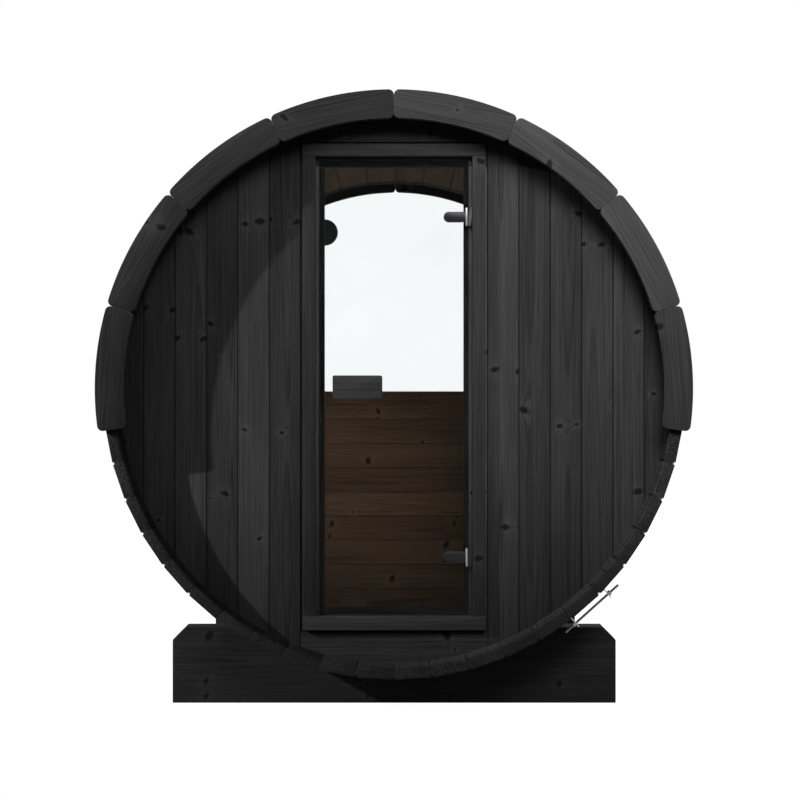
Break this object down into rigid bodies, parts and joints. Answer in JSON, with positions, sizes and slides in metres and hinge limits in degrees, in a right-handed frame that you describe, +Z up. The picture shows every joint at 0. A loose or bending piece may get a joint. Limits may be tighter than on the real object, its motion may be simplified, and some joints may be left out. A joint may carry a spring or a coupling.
{
  "type": "barrel sauna",
  "caption": "Barrel-shaped sauna cabin of black stained staves on cradles, with a hinged glass door in the front wall and a half-round window in the rear wall.",
  "frame": {"origin": "ground under the middle of the barrel", "axes": "+Z up, +Y along the barrel from the door to the rear window, +X to the right seen from the door side"},
  "size_m": [2.064, 1.826, 2.1678],
  "materials": {
    "stained_wood": "black stain with the grain showing",
    "bare_wood": "brown heat-treated boards",
    "clear_glass": "clear toughened glass",
    "satin_steel": "satin stainless steel",
    "black_plastic": "matt black"
  },
  "bodies": {
    "cabin": {"staves_crown_right": "stained_wood", "staves_crown_left": "stained_wood", "staves_upper_right": "stained_wood", "staves_upper_left": "stained_wood", "staves_lower_right": "stained_wood", "staves_lower_left": "stained_wood", "staves_floor_right": "stained_wood", "staves_floor_left": "stained_wood", "front_wall_left": "stained_wood", "front_wall_right": "stained_wood", "header_board": "stained_wood", "sill_board": "stained_wood", "door_frame_left": "stained_wood", "door_frame_right": "stained_wood", "door_frame_head": "stained_wood", "door_frame_sill": "stained_wood", "casing_left": "stained_wood", "casing_right": "stained_wood", "casing_head": "stained_wood", "casing_sill": "stained_wood", "front_trim_left": "stained_wood", "front_trim_right": "stained_wood", "rear_trim_left": "stained_wood", "rear_trim_right": "stained_wood", "cradle_front": "stained_wood", "cradle_rear": "stained_wood", "rear_wall": "bare_wood", "rear_window_rail": "bare_wood", "rear_window_glass": "clear_glass", "hinge_leaf_upper": "satin_steel", "hinge_leaf_lower": "satin_steel", "band_front": "satin_steel", "band_rear": "satin_steel", "band_tightener_front": "satin_steel", "band_tightener_rear": "satin_steel", "door_catch": "black_plastic"},
    "door": {"door_glass": "clear_glass", "door_handle_outer": "stained_wood", "door_handle_inner": "stained_wood", "hinge_tongue_upper": "satin_steel", "hinge_tongue_lower": "satin_steel"}
  },
  "joints": [
    {"name": "door_hinge", "type": "hinge", "parent": "cabin", "child": "door", "pos_m": [0.256, -0.801, 1.136], "axis": [0, 0, 1], "range_deg": [0, 110]}
  ]
}
